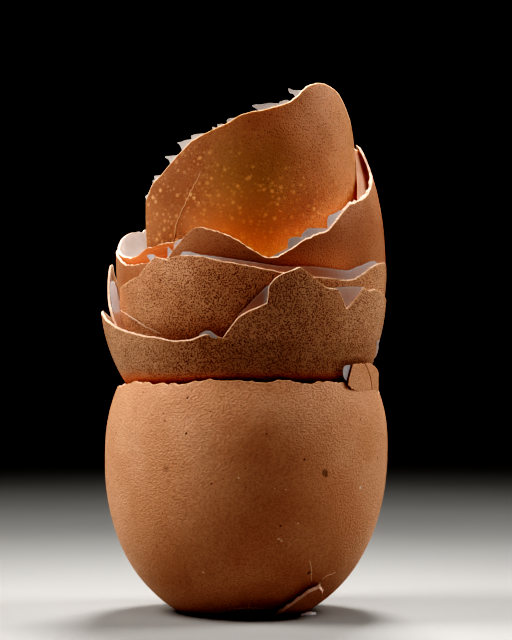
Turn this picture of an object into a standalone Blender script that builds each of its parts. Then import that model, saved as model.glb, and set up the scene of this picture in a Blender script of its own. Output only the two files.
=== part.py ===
"""Cracked brown eggshells pushed one into another, so that they stand and lift as one tower.

Every shell is a patch of an egg's surface between a start height and a broken rim, given
thickness by Solidify. Sizes are in millimetres until MM turns them into Blender's metres.
Bearings are in degrees round +Z: 0 faces the front (-Y) and 90 faces +X.
"""

import math
from dataclasses import dataclass

import bmesh
import bpy

MM = 0.001
WALL = 0.35
EGG_WIDTH = 44.6
FULL_TURN = 360
BEARING_STEP = 12
NEAREST_BEARINGS = 5.0
CUP_ROWS = 8
PATCH_ROWS = 3


@dataclass
class Egg:
    """An egg on its end: the middle of its widest circle, and how far it reaches below and above.

    A fullness of 2 makes both halves ellipses, and more fills out their shoulders. The lean
    moves the axis sideways, along X, for each unit of height.
    """

    x: float
    y: float
    height: float
    radius: float
    below: float
    above: float
    lean: float = 0.0
    fullness: float = 2.0

    def angle_at(self, z):
        """The profile's own angle at a height, from -90 degrees at the foot to 90 at the top."""
        reach = self.below if z < self.height else self.above
        share = min(1.0, abs(z - self.height) / reach) ** (self.fullness / 2)
        return math.copysign(math.asin(share), z - self.height)

    def point(self, bearing, angle):
        """A point of the surface, measured from the middle of the widest circle."""
        reach = self.below if angle < 0 else self.above
        rise = reach * math.copysign(abs(math.sin(angle)) ** (2 / self.fullness), angle)
        radius = self.radius * abs(math.cos(angle)) ** (2 / self.fullness)
        turn = math.radians(bearing)
        return (
            radius * math.sin(turn) + self.lean * rise,
            -radius * math.cos(turn),
            rise,
        )


# The shells from the lowest to the highest. Each next one sits in the one before, and higher,
# because eggs of like size jam where their widths meet.
CUP_EGG = Egg(0.51, 0.0, 25.4, EGG_WIDTH / 2, 27.65, 22.6, lean=0.02, fullness=2.2)
SECOND_EGG = Egg(0.02, 0.6, 49.3, 22.45, 24.0, 30.0, lean=-0.01)
THIRD_EGG = Egg(0.6, 0.5, 51.8, 21.95, 24.3, 30.0)
FOURTH_EGG = Egg(0.97, 0.9, 57.2, 21.45, 26.5, 30.0)
FIFTH_EGG = Egg(0.97, 1.0, 58.0, 20.9, 24.0, 28.0, lean=0.03)
SIXTH_EGG = Egg(0.47, 1.1, 61.0, 20.1, 25.5, 30.0)
SHARD_EGG = Egg(-1.0, 3.3, 64.1, 19.1, 36.0, 38.0, lean=0.02)
TAB_EGG = Egg(0.83, 0.0, 39.5, 20.95, 17.6, 30.0)
CHIP_EGG = Egg(0.51, 0.0, 24.65, 22.6, 27.65, 22.6, lean=0.02, fullness=2.2)

# Broken rims as (bearing, height) corners, joined by straight breaks.
CUP_RIM = [
    (-90, 35.4), (-72, 35.7), (-62, 36.4), (-43, 36.2), (-30, 36.2), (-17, 37.1), (-9, 36.9),
    (5, 36.6), (19, 36.9), (25, 36.2), (34, 36.6), (48, 36.3), (54, 35.6), (60, 34.9),
    (68, 35.3), (80, 34.4), (96, 34.8), (130, 35.8), (170, 35.2), (220, 36.0),
]  # fmt: skip
SECOND_RIM = [
    (-91, 46.9), (-82, 46.6), (-67, 45.2), (-40, 44.0), (-22, 42.9), (-12, 44.0), (-4, 42.7),
    (11, 42.9), (38, 42.5), (70, 42.3), (77, 44.4), (85, 41.2), (110, 43.0), (150, 44.6),
    (200, 43.2), (240, 45.4),
]  # fmt: skip
THIRD_RIM = [
    (-114, 51.6), (-105, 52.1), (-100, 53.5), (-94, 54.7), (-88, 51.9), (-82, 48.3),
    (-77, 46.3), (-67, 43.4), (-40, 41.8), (-16, 41.6), (-8, 44.0), (-2, 46.6), (8, 48.4),
    (10, 51.3), (23, 53.9), (34, 50.9), (40, 50.5), (46, 47.3), (56, 50.6), (68, 50.4),
    (84, 49.6), (104, 49.0), (130, 51.6), (170, 49.4), (215, 52.4),
]  # fmt: skip
FOURTH_RIM = [
    (-77, 43.6), (-73, 51.1), (-54, 52.6), (-42, 55.6), (-37, 55.0), (-28, 55.6),
    (-20, 55.5), (-3, 54.6), (14, 53.2), (38, 52.1), (50, 52.0), (60, 53.6), (70, 54.7),
    (82, 55.0), (110, 53.6), (150, 55.2), (195, 53.4), (222, 52.8), (232, 46.8), (262, 43.0),
]  # fmt: skip
FIFTH_RIM = [
    (-90, 56.6), (-80, 55.7), (-68, 54.5), (-50, 54.5), (-37, 55.1), (-30, 57.8),
    (-22, 60.0), (-14, 59.4), (-7, 58.3), (1, 56.5), (9, 55.2), (17, 57.0), (26, 58.9),
    (35, 59.8), (44, 62.6), (53, 64.1), (63, 65.4), (72, 67.4), (86, 68.6), (97, 71.4),
    (102, 73.6), (112, 72.8), (140, 66.4), (175, 60.0), (215, 57.6), (245, 57.2),
]  # fmt: skip
SIXTH_RIM = [
    (-93, 57.6), (-86, 56.8), (-75, 56.0), (-62, 55.6), (-50, 56.8), (-34, 57.6), (-15, 57.0),
    (10, 54.4), (40, 55.6), (70, 57.0), (100, 57.4), (150, 56.6), (195, 56.8), (222, 59.4),
    (234, 60.2), (246, 60.0), (258, 58.9),
]  # fmt: skip
SHARD_RIM = [
    (-47, 64.4), (-40, 67.6), (-30, 70.8), (-18, 74.1), (-5, 76.1), (10, 77.8), (22, 79.0),
    (32, 80.2), (41, 82.0), (50, 82.8), (60, 81.9), (70, 79.8), (84, 76.5), (98, 72.0),
    (110, 64.0), (118, 57.0),
]  # fmt: skip
SHARD_FOOT = [(-47, 52.6), (-20, 46.8), (20, 47.4), (60, 46.8), (100, 47.4), (118, 48.8)]

TAB_BREAK = 60.5
TAB_FOOT = [(47, 36.8), (54, 36.1), (60, 35.4), (68, 35.8), (84, 35.0)]
TAB_TOP = [(47, 38.9), (49, 39.4), (64, 39.5), (76, 38.0), (82, 36.4), (84, 35.9)]
TAB_CRACK = 1.2

CHIP_FOOT = [(28, 0.0), (40, 0.05), (49, 0.9), (55, 2.6)]
CHIP_TOP = [(28, 0.5), (38, 2.1), (51, 4.4), (55, 4.1)]

# The crushed foot's loose flake lies on the ground beside the chip.
FLAKE_OUTLINE = [(9.5, -5.7), (10.2, -6.9), (11.9, -5.9), (12.6, -4.2), (11.5, -2.6), (10.8, -3.4)]


def height_along(corners, bearing, whole_turn):
    """The height of a broken line at a bearing, with straight runs between its corners."""
    if whole_turn:
        first_bearing, first_height = corners[0]
        while bearing < first_bearing:
            bearing += FULL_TURN
        corners = corners + [(first_bearing + FULL_TURN, first_height)]
    for (start, low), (end, high) in zip(corners, corners[1:]):
        if start <= bearing <= end:
            return low + (high - low) * (bearing - start) / (end - start)
    return corners[-1][1] if bearing > corners[-1][0] else corners[0][1]


def bearings_of(corners, first, last):
    """The corners' own bearings, with even steps between them that keep clear of a corner."""
    kept = list({bearing for bearing, _ in corners if first < bearing < last} | {first, last})
    even = range(math.ceil(first / BEARING_STEP) * BEARING_STEP, math.ceil(last), BEARING_STEP)
    for step in even:
        if min(abs(step - bearing) for bearing in kept) >= NEAREST_BEARINGS:
            kept.append(step)
    return sorted(kept)


def surface(name, egg, bearings, foot_angle, rim_angle, rows, foot_disc=False):
    """A grid bent onto the egg: columns are bearings, and rows climb from the foot to the rim."""
    columns = len(bearings) - 1
    first_row = -1 if foot_disc else 0
    mesh_rows = rows - first_row
    shape = bmesh.new()
    bmesh.ops.create_grid(shape, x_segments=columns, y_segments=mesh_rows, size=1)
    for vertex in shape.verts:
        bearing = bearings[round((vertex.co.x + 1) / 2 * columns)]
        row = first_row + round((vertex.co.y + 1) / 2 * mesh_rows)
        start = foot_angle(bearing)
        share = max(row, 0) / rows
        x, y, z = egg.point(bearing, start + (rim_angle(bearing) - start) * share)
        if row < 0:
            x, y = -egg.x, -egg.y
        vertex.co = (x * MM, y * MM, z * MM)
    bmesh.ops.remove_doubles(shape, verts=shape.verts, dist=0.002 * MM)
    bmesh.ops.recalc_face_normals(shape, faces=shape.faces)
    outward = sum(face.normal.dot(face.calc_center_median()) for face in shape.faces)
    if outward < 0:
        bmesh.ops.reverse_faces(shape, faces=shape.faces)
    mesh = bpy.data.meshes.new(name)
    shape.to_mesh(mesh)
    shape.free()
    piece = bpy.data.objects.new(name, mesh)
    piece.location = (egg.x * MM, egg.y * MM, egg.height * MM)
    return piece


def thicken(piece, wall=WALL):
    """The surface is the outside of the shell, so the wall grows inwards."""
    solid = piece.modifiers.new("wall", "SOLIDIFY")
    solid.thickness = wall * MM
    solid.offset = -1
    solid.use_even_offset = True
    return piece


def cup(name, egg, rim, foot=None):
    """A shell that goes all the way round, closed at its lower end or flattened at a foot."""
    start = -math.pi / 2 if foot is None else egg.angle_at(foot)
    return thicken(
        surface(
            name,
            egg,
            bearings_of(rim, rim[0][0], rim[0][0] + FULL_TURN),
            lambda bearing: start,
            lambda bearing: egg.angle_at(height_along(rim, bearing, True)),
            CUP_ROWS,
            foot_disc=foot is not None,
        )
    )


def patch(name, egg, first, last, foot, top, rows=PATCH_ROWS):
    """A fragment between two bearings, from one broken line up to another."""
    return thicken(
        surface(
            name,
            egg,
            bearings_of(foot + top, first, last),
            lambda bearing: egg.angle_at(height_along(foot, bearing, False)),
            lambda bearing: egg.angle_at(height_along(top, bearing, False)),
            rows,
        )
    )


def floor_flake(name):
    """A loose bit of shell, lying flat."""
    outline = bpy.data.curves.new(name, "CURVE")
    outline.dimensions = "2D"
    outline.fill_mode = "BOTH"
    outline.extrude = WALL / 2 * MM
    edge = outline.splines.new("POLY")
    edge.points.add(len(FLAKE_OUTLINE) - 1)
    for point, (x, y) in zip(edge.points, FLAKE_OUTLINE):
        point.co = (x * MM, y * MM, 0, 1)
    edge.use_cyclic_u = True
    flake = bpy.data.objects.new(name, outline)
    flake.location.z = WALL / 2 * MM
    return flake


def linear(channel):
    """One sRGB channel, 0 to 255, as Blender's linear value."""
    value = channel / 255
    return value / 12.92 if value <= 0.04045 else ((value + 0.055) / 1.055) ** 2.4


def finish(piece, red, green, blue):
    """The piece's own matt shell colour."""
    material = bpy.data.materials.new(piece.name + "_finish")
    material.use_nodes = True
    shader = material.node_tree.nodes["Principled BSDF"]
    colour = (linear(red), linear(green), linear(blue), 1)
    shader.inputs["Base Color"].default_value = colour
    shader.inputs["Roughness"].default_value = 0.6
    shader.inputs["Metallic"].default_value = 0.0
    material.diffuse_color = colour
    piece.data.materials.append(material)


def main():
    for old in list(bpy.data.objects):
        bpy.data.objects.remove(old)
    tower = bpy.data.collections.new("cracked_eggshell")
    bpy.context.scene.collection.children.link(tower)

    pieces = [
        (cup("bottom_cup", CUP_EGG, CUP_RIM, foot=0.0), (196, 134, 92)),
        (cup("second_shell", SECOND_EGG, SECOND_RIM), (160, 98, 60)),
        (cup("third_shell", THIRD_EGG, THIRD_RIM), (165, 104, 64)),
        (cup("fourth_shell", FOURTH_EGG, FOURTH_RIM), (158, 96, 58)),
        (cup("fifth_shell", FIFTH_EGG, FIFTH_RIM), (172, 106, 66)),
        (cup("sixth_shell", SIXTH_EGG, SIXTH_RIM), (186, 118, 74)),
        (
            patch("top_shard", SHARD_EGG, SHARD_RIM[0][0], SHARD_RIM[-1][0], SHARD_FOOT,
                  SHARD_RIM, rows=10),
            (180, 114, 72),
        ),
        (
            patch("rim_tab_left", TAB_EGG, TAB_FOOT[0][0], TAB_BREAK - TAB_CRACK / 2, TAB_FOOT,
                  TAB_TOP),
            (186, 124, 84),
        ),
        (
            patch("rim_tab_right", TAB_EGG, TAB_BREAK + TAB_CRACK / 2, TAB_FOOT[-1][0], TAB_FOOT,
                  TAB_TOP),
            (186, 124, 84),
        ),
        (
            patch("foot_chip", CHIP_EGG, CHIP_FOOT[0][0], CHIP_FOOT[-1][0], CHIP_FOOT, CHIP_TOP),
            (150, 92, 60),
        ),
        (floor_flake("foot_flake"), (226, 208, 196)),
    ]  # fmt: skip
    for piece, colour in pieces:
        tower.objects.link(piece)
        finish(piece, *colour)


main()
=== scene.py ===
# %% [markdown]
# # A tower of cracked eggshells
# Six brown eggshells lie pushed one into another, with a tall shard standing in the topmost.
# Each one is an egg whose upper part has broken away, so the whole tower comes from one idea:
# a surface of revolution that stops at a jagged line. This script keeps the packed solids as
# the frame, and puts a fine shell, with its skin, its broken edge and its finish, over each.

# %% Load the frame
import math
import random
from dataclasses import dataclass

import bmesh
import bpy
import numpy as np
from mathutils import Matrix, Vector, noise


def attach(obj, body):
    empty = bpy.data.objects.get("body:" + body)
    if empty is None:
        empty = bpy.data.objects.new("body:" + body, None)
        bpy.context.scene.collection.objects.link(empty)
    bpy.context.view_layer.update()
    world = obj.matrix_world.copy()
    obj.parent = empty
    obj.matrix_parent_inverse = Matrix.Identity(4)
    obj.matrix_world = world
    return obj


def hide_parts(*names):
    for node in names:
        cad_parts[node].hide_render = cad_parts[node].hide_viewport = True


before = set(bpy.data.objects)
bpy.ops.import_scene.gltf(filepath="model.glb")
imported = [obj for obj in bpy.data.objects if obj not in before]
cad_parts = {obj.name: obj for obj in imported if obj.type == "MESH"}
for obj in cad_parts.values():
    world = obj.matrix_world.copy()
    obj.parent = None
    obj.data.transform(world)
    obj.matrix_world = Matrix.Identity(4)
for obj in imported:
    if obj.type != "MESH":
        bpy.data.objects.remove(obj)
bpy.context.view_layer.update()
scene = bpy.context.scene
MM = 0.001

# %% [markdown]
# ## The camera
# A long lens, a little under half a metre away, keeps an egg's outline nearly the same as its
# widest circle. A wide lens close by would make the near rims look too large. The camera stands
# level, over half way up the tower, so it sees low rims from above and high ones from below.

# %% The camera
LENS, SENSOR = 149.5, 36
EYE = (0.00204, -0.42, 0.04595)
camera = bpy.data.objects.new("camera", bpy.data.cameras.new("camera"))
camera.data.lens, camera.data.sensor_width = LENS, SENSOR
camera.data.clip_start = 0.01
camera.location = EYE
camera.rotation_euler = (math.radians(90), 0, 0)
scene.collection.objects.link(camera)
scene.camera = camera
print("camera at", EYE, "with a lens of", LENS, "mm")

# %% [markdown]
# ## Shader maths as plain expressions
# A material is a graph of nodes, and most of them are sums. Each could be placed and linked by
# hand, but a sum is easier to read as a sum. The small class Amount wraps the socket that
# carries a number, and overloads + - and *, so that `1 - mask` adds the Math node it stands
# for. The class Finish holds one material, and one method that makes any other node.


# %% Amount
class Amount:
    """A number on a shader socket. Sums with it add Math nodes to its finish."""

    def __init__(self, finish, socket):
        self.finish, self.socket = finish, socket

    def maths(self, operation, *values):
        sockets = dict(enumerate(values))
        return self.finish.amount("ShaderNodeMath", 0, sockets, operation=operation)

    def __add__(self, other):
        return self.maths("ADD", self, other)

    def __radd__(self, other):
        return self.maths("ADD", other, self)

    def __sub__(self, other):
        return self.maths("SUBTRACT", self, other)

    def __rsub__(self, other):
        return self.maths("SUBTRACT", other, self)

    def __mul__(self, other):
        return self.maths("MULTIPLY", self, other)

    def __rmul__(self, other):
        return self.maths("MULTIPLY", other, self)

    def __abs__(self):
        return self.maths("ABSOLUTE", self)

    def most(self, other):
        """The larger of the two."""
        return self.maths("MAXIMUM", self, other)


print("an Amount has", len(vars(Amount)), "names")


# %% Finish
class Finish:
    """One material, and the nodes that colour it."""

    def __init__(self, name):
        self.material = bpy.data.materials.new(name)
        self.material.use_nodes = True
        self.tree = self.material.node_tree
        self.shader = self.tree.nodes["Principled BSDF"]

    def node(self, kind, settings=None, sockets=None):
        """A node of any kind: its settings, then a value or a link for each socket."""
        made = self.tree.nodes.new(kind)
        for setting, value in (settings or {}).items():
            setattr(made, setting, value)
        self.feed(made, sockets or {})
        return made

    def feed(self, made, sockets):
        for key, value in sockets.items():
            if isinstance(value, Amount):
                value = value.socket
            if isinstance(value, bpy.types.NodeSocket):
                self.tree.links.new(value, made.inputs[key])
            else:
                made.inputs[key].default_value = value

    def amount(self, kind, output, sockets, **settings):
        """A node whose output is a number."""
        return Amount(self, self.node(kind, settings, sockets).outputs[output])

    def place(self):
        """The point on the object, in millimetres."""
        here = self.node("ShaderNodeTexCoord").outputs["Object"]
        return self.squashed(here, (1 / MM, 1 / MM, 1 / MM))

    def squashed(self, place, along, turned=(0, 0, 0)):
        """The same point, scaled and then turned, to stretch or skew a pattern."""
        sockets = {"Vector": place, "Scale": along, "Rotation": turned}
        return self.node("ShaderNodeMapping", {}, sockets).outputs["Vector"]

    def axes(self, place):
        """The point's x, y and z, each as an Amount."""
        split = self.node("ShaderNodeSeparateXYZ", {}, {0: place})
        return [Amount(self, socket) for socket in split.outputs]

    def away(self, place, point):
        """How far the surface is from a point, in millimetres."""
        return self.amount("ShaderNodeVectorMath", "Value", {0: place, 1: point}, operation="DISTANCE")

    def grain(self, place, scale, detail=2.0, rough=0.5, twist=0.0):
        """Noise from 0 to 1, with so many lumps to a millimetre."""
        sockets = {"Vector": place, "Scale": scale, "Detail": detail, "Roughness": rough, "Distortion": twist}
        return self.amount("ShaderNodeTexNoise", "Fac", sockets)

    def cells(self, place, scale, uneven=1.0):
        """How far the nearest of many scattered points is, in cells."""
        sockets = {"Vector": place, "Scale": scale, "Randomness": uneven}
        return self.amount("ShaderNodeTexVoronoi", "Distance", sockets)

    def painted(self, name):
        """A number that the mesh holds for each vertex."""
        return self.amount("ShaderNodeAttribute", "Fac", {}, attribute_name=name)

    def step(self, amount, low, high, first=0.0, last=1.0):
        """A soft step: first below low, last above high, and smooth between them."""
        sockets = {"Value": amount, "From Min": low, "From Max": high, "To Min": first, "To Max": last}
        return self.amount("ShaderNodeMapRange", "Result", sockets, interpolation_type="SMOOTHSTEP")

    def mix(self, share, under, over):
        """The colour over laid on the colour under, as far as share says."""
        settings = {"data_type": "RGBA", "blend_type": "MIX"}
        return self.node("ShaderNodeMix", settings, {0: share, 6: under, 7: over}).outputs[2]

    def bump(self, height, depth, below=None):
        """Relief: height from 0 to 1 stands for depth millimetres."""
        sockets = {"Height": height, "Distance": depth * MM, "Strength": 1.0}
        if below is not None:
            sockets["Normal"] = below
        return self.node("ShaderNodeBump", {}, sockets).outputs["Normal"]

    def coat(self, colour, rough, relief=None, through=0.0, reach=0.0, far=(1.0, 0.8, 0.6)):
        """The surface. Light goes through it for reach millimetres, times far for each colour."""
        self.feed(self.shader, {"Base Color": colour, "Roughness": rough})
        if relief is not None:
            self.feed(self.shader, {"Normal": relief})
        if through:
            light = {"Weight": through, "Radius": far, "Scale": reach * MM}
            self.feed(self.shader, {f"Subsurface {name}": value for name, value in light.items()})


print("a Finish makes", ", ".join(name for name in vars(Finish) if name[0] != "_"))

# %% [markdown]
# ## Colours
# A colour is easiest to name by the 0 to 255 numbers of a screen. Shaders work in linear light,
# where twice the number is twice the light, so each channel is turned back first.


# %% Colours
def tone(red, green, blue):
    """A colour from its usual 0 to 255 numbers, as the linear light that shaders work in."""
    share = [channel / 255 for channel in (red, green, blue)]
    return (*[c / 12.92 if c <= 0.04045 else ((c + 0.055) / 1.055) ** 2.4 for c in share], 1)


print("a mid brown in linear light:", [round(c, 3) for c in tone(150, 95, 60)])

# %% [markdown]
# ## The studio's floor
# The floor is plain paper. A flat plane would show its far edge, so this one curves up all
# round, as a paper sweep does behind a small object, and no horizon cuts the view from any
# side. A profile spun round Z makes it. Paper is never quite even: a very wide and faint noise
# mottles its grey.

# %% The floor's shape
FLAT, CURVE, TOP, FLOOR_TURNS = 1.1, 0.5, 1.9, 96
profile = [(0.0, 0.0), (FLAT / 2, 0.0), (FLAT, 0.0)]
for turn in np.radians(range(10, 91, 10)):
    profile.append((FLAT + CURVE * math.sin(turn), CURVE - CURVE * math.cos(turn)))
profile.append((FLAT + CURVE, TOP))
sweep = bmesh.new()
line = [sweep.verts.new((out, 0, up)) for out, up in profile]
edges = [sweep.edges.new(pair) for pair in zip(line, line[1:])]
bmesh.ops.spin(
    sweep, geom=line + edges, axis=(0, 0, 1), angle=math.tau, steps=FLOOR_TURNS, use_merge=True
)
bmesh.ops.remove_doubles(sweep, verts=sweep.verts, dist=1e-5)
bmesh.ops.recalc_face_normals(sweep, faces=sweep.faces)
for face in sweep.faces:
    face.smooth = True
floor = bpy.data.objects.new("floor", bpy.data.meshes.new("floor"))
sweep.to_mesh(floor.data)
sweep.free()
scene.collection.objects.link(floor)

paper = Finish("pale_floor")
mottle = paper.grain(paper.place(), 0.02, 3)
paper.coat(paper.mix(mottle, tone(142, 140, 137), tone(150, 148, 145)), 0.75)
floor.data.materials.append(paper.material)
print("floor:", len(floor.data.polygons), "faces")

# %% [markdown]
# ## The light
# Two broad soft lights stand at the sides and above, the left one stronger, so that the eggs
# turn dark towards their middle. A faint one fills from the front, and a very faint one lies
# low there, for the foot. A lamp behind and above shines into the open shells: an eggshell is
# thin enough to glow where it is lit from the back.


# %% The lights
def soft_light(name, power, size, bearing, height, distance, aim, spread):
    """A soft light at a bearing from the front, aimed at a height on the tower's axis."""
    lamp = bpy.data.lights.new(name, "AREA")
    lamp.shape, lamp.size, lamp.size_y = "RECTANGLE", *size
    lamp.energy, lamp.spread = power, math.radians(spread)
    stand = bpy.data.objects.new(name, lamp)
    turn = math.radians(bearing)
    stand.location = (distance * math.sin(turn), -distance * math.cos(turn), height)
    aimed = Vector((0, 0, aim)) - stand.location
    stand.rotation_euler = aimed.to_track_quat("-Z", "Y").to_euler()
    stand.visible_camera = False
    scene.collection.objects.link(stand)


LIGHTS = [  # the name, power and size, then the bearing, height, distance, aim and spread
    ("left_light", 0.8, (0.2, 0.26), -86, 0.37, 0.32, 0.06, 90),
    ("right_light", 0.56, (0.2, 0.26), 100, 0.36, 0.34, 0.06, 90),
    ("front_light", 0.11, (0.3, 0.2), -8, 0.52, 0.22, 0.06, 90),
    ("low_light", 0.008, (0.3, 0.06), -5, 0.04, 0.4, 0.0, 100),
    ("back_light", 0.2, (0.1, 0.1), 172, 0.36, 0.18, 0.07, 50),
]
for row in LIGHTS:
    soft_light(*row)
print(len(LIGHTS), "lights,", round(sum(row[1] for row in LIGHTS), 2), "W in all")

# %% [markdown]
# ## The room and the tone curve
# A nearly black room lets the light fall off behind the tower. The tone curve comes last, as
# in a darkroom. Weaker lights would make the pale rims dull too, but a curve presses only the
# shadows down.

# %% The room and the tone curve
ROOM_COLOUR, ROOM_STRENGTH = (0.9, 0.95, 1.0, 1), 0.04
TONE_CURVE = [(0.07, 0.007), (0.12, 0.038), (0.23, 0.154), (0.5, 0.475)]
world = bpy.data.worlds.new("room")
world.use_nodes = True
background = world.node_tree.nodes["Background"].inputs
background["Color"].default_value, background["Strength"].default_value = ROOM_COLOUR, ROOM_STRENGTH
scene.world = world
view = scene.view_settings
view.view_transform, view.use_curve_mapping = "Standard", True
points = view.curve_mapping.curves[3].points
for light, shown in TONE_CURVE:
    points.new(light, shown)
view.curve_mapping.update()
print("tone curve:", len(points), "points")

# %% [markdown]
# ## An egg
# Seen from the side an egg is two half ellipses that meet at its widest circle, one longer than
# the other. A scaled sphere would have both halves alike. A fullness over 2 makes the shoulders
# rounder. Every point of a shell is named by its bearing, its height and its depth under the
# outside, so all that follows is made flat and then laid on an egg.


# %% The egg
@dataclass
class Egg:
    """In millimetres: the middle of the widest circle, and the reach below and above it."""

    x: float
    y: float
    height: float
    radius: float
    below: float
    above: float
    lean: float = 0.0
    fullness: float = 2.0

    def angle_at(self, height):
        """The profile's own angle at a height, from foot to top."""
        reach = np.where(height < self.height, self.below, self.above)
        share = np.minimum(1.0, np.abs(height - self.height) / reach) ** (self.fullness / 2)
        return np.copysign(np.arcsin(share), height - self.height)

    def points(self, bearing, angle, depth=0.0):
        """Points so far under the outside, a row for each bearing and angle."""
        reach = np.where(angle < 0, self.below, self.above)
        across = np.abs(np.cos(angle)) ** (2 / self.fullness)
        up = np.abs(np.sin(angle)) ** (2 / self.fullness)
        out_part = np.maximum(across, 1e-6) ** (self.fullness - 1) / self.radius
        up_part = np.maximum(up, 1e-6) ** (self.fullness - 1) / reach
        scale = depth / np.hypot(out_part, up_part)
        radius = self.radius * across - out_part * scale
        rise = np.copysign(reach * up - up_part * scale, angle)
        turn = np.radians(bearing)
        x = self.x + radius * np.sin(turn) + self.lean * rise
        return np.stack([x, self.y - radius * np.cos(turn), self.height + rise], axis=-1)

    def at(self, bearing, height, depth=0.0):
        """One point by its bearing, height and depth, in metres."""
        return Vector(self.points(bearing, self.angle_at(height), depth)) * MM


WALL = 0.35
CUP_EGG = Egg(0.51, 0.0, 25.4, 22.3, 27.65, 22.6, lean=0.02, fullness=2.2)
SECOND_EGG = Egg(0.12, 0.6, 49.3, 22.65, 24.0, 30.0, lean=-0.01)
THIRD_EGG = Egg(0.55, 0.5, 51.2, 22.1, 24.3, 30.0, lean=-0.04)
FOURTH_EGG = Egg(1.15, 0.7, 53.0, 21.5, 24.5, 30.0)
FIFTH_EGG = Egg(1.2, 1.5, 55.0, 21.35, 22.0, 32.0)
SIXTH_EGG = Egg(0.5, 1.3, 61.0, 20.6, 25.5, 30.0)
SHARD_EGG = Egg(-1.0, 3.3, 64.1, 19.1, 36.0, 38.0, lean=0.02)
TAB_EGG = Egg(0.4, 0.0, 37.0, 21.0, 60.0, 32.0)
CHIP_EGG = Egg(0.51, 0.0, 24.65, 22.6, 27.65, 22.6, lean=0.02, fullness=2.2)
print("the lowest egg is", 2 * CUP_EGG.radius, "mm wide")

# %% [markdown]
# ## A broken line
# A shell breaks along straight runs with a few large corners, and each run is itself a row of
# short steps. Noise alone would give soft waves. So the large corners are given, and the short
# steps come from a seeded random, so that the same line is drawn every time.


# %% Broken lines
def broken(corners, seed, size=0.12, step=(1.2, 5.0), whole=True):
    """A function from bearings to heights: the corners, with short random steps between them."""
    chance = random.Random(seed)
    ends = corners + [(corners[0][0] + 360, corners[0][1])] if whole else corners
    bearings, heights = [], []
    for (start, low), (end, high) in zip(ends, ends[1:]):
        bearings.append(start)
        heights.append(low)
        here = start + chance.uniform(*step)
        while here < end - step[0]:
            bearings.append(here)
            heights.append(low + (high - low) * (here - start) / (end - start) + chance.uniform(-size, size))
            here += chance.uniform(*step)
    if not whole:
        bearings.append(ends[-1][0])
        heights.append(ends[-1][1])
    return lambda bearing: np.interp(bearing, bearings, heights, period=360 if whole else None)


def along(pairs, jitter=0.0, seed=0):
    """A function from bearings to a size that changes evenly between the pairs, give or take."""
    chance = random.Random(seed)
    bearings, sizes = [pair[0] for pair in pairs], [pair[1] for pair in pairs]
    turns = np.arange(0, 360, 1.5)
    uneven = [1 + jitter * chance.uniform(-1, 1) for _ in turns]
    return lambda bearing: np.interp(bearing, bearings, sizes, period=360) * np.interp(
        bearing, turns, uneven, period=360
    )


tried = broken([(0, 10.0), (90, 12.0), (180, 9.0)], seed=1)
print("heights along a broken line:", tried(np.arange(0, 180, 30)).round(2))

# %% [markdown]
# ## The blank of a shell
# A shell could be a cut egg, but a Boolean leaves long thin triangles along its cut. Here it is
# made straight and bent afterwards, so its rows follow the break. The blank is a tube: one
# vertex spun to a ring, raised, and cut into rows. While it is still straight, extruding its
# faces and keeping the old ones gives it an inner wall, and the faces between the walls become
# the broken edge. Outside, inside and break get a finish each, with a sharp edge between them.

# %% The blank
OUTSIDE, INSIDE, BREAK = 0, 1, 2
THIN = 0.9


def vertices(parts):
    """The vertices among what an operator made."""
    return [part for part in parts if isinstance(part, bmesh.types.BMVert)]


def agree(shape):
    """All faces turn the same way round."""
    bmesh.ops.recalc_face_normals(shape, faces=shape.faces)


def part_walls(shape, inner, grains):
    """Three kinds of face, with so many cuts across the break and a sharp edge where they meet."""
    for face in shape.faces:
        depth = sum(vertex in inner for vertex in face.verts)
        face.material_index = {0: OUTSIDE, 4: INSIDE}.get(depth, BREAK)
        face.smooth = True
    across = [edge for edge in shape.edges if (edge.verts[0] in inner) != (edge.verts[1] in inner)]
    if grains:
        bmesh.ops.subdivide_edges(shape, edges=across, cuts=grains, use_grid_fill=True)
    agree(shape)
    for edge in shape.edges:
        edge.smooth = len({face.material_index for face in edge.link_faces}) == 1


def blank(first, last, columns, rows, grains=2):
    """A straight tube, or part of one, with an inner wall at THIN of its radius."""
    shape = bmesh.new()
    whole = last - first >= 360
    turn, sweep = math.radians(first), math.radians(last - first)
    start = shape.verts.new((math.sin(turn), -math.cos(turn), 0))
    bmesh.ops.spin(shape, geom=[start], axis=(0, 0, 1), angle=sweep, steps=columns, use_merge=whole)
    bmesh.ops.remove_doubles(shape, verts=shape.verts, dist=1e-6)
    raised = bmesh.ops.extrude_edge_only(shape, edges=list(shape.edges))["geom"]
    bmesh.ops.translate(shape, vec=(0, 0, 1), verts=vertices(raised))
    standing = [edge for edge in shape.edges if edge.calc_length() > 0.5]
    bmesh.ops.subdivide_edges(shape, edges=standing, cuts=rows - 1, use_grid_fill=True)
    agree(shape)
    if sum(face.normal.dot(face.calc_center_median()) for face in shape.faces) < 0:
        bmesh.ops.reverse_faces(shape, faces=shape.faces)
    made = bmesh.ops.extrude_face_region(shape, geom=list(shape.faces), use_keep_orig=True)["geom"]
    inner = vertices(made)
    bmesh.ops.scale(shape, vec=(THIN, THIN, 1), verts=inner)
    if whole:
        low_ring = [face for face in shape.faces if max(vertex.co.z for vertex in face.verts) < 1e-6]
        bmesh.ops.delete(shape, geom=low_ring, context="FACES")
    part_walls(shape, set(inner), grains)
    return shape


tube = blank(0, 360, 24, 6)
print("a small blank:", len(tube.faces), "faces")
tube.free()

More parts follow.
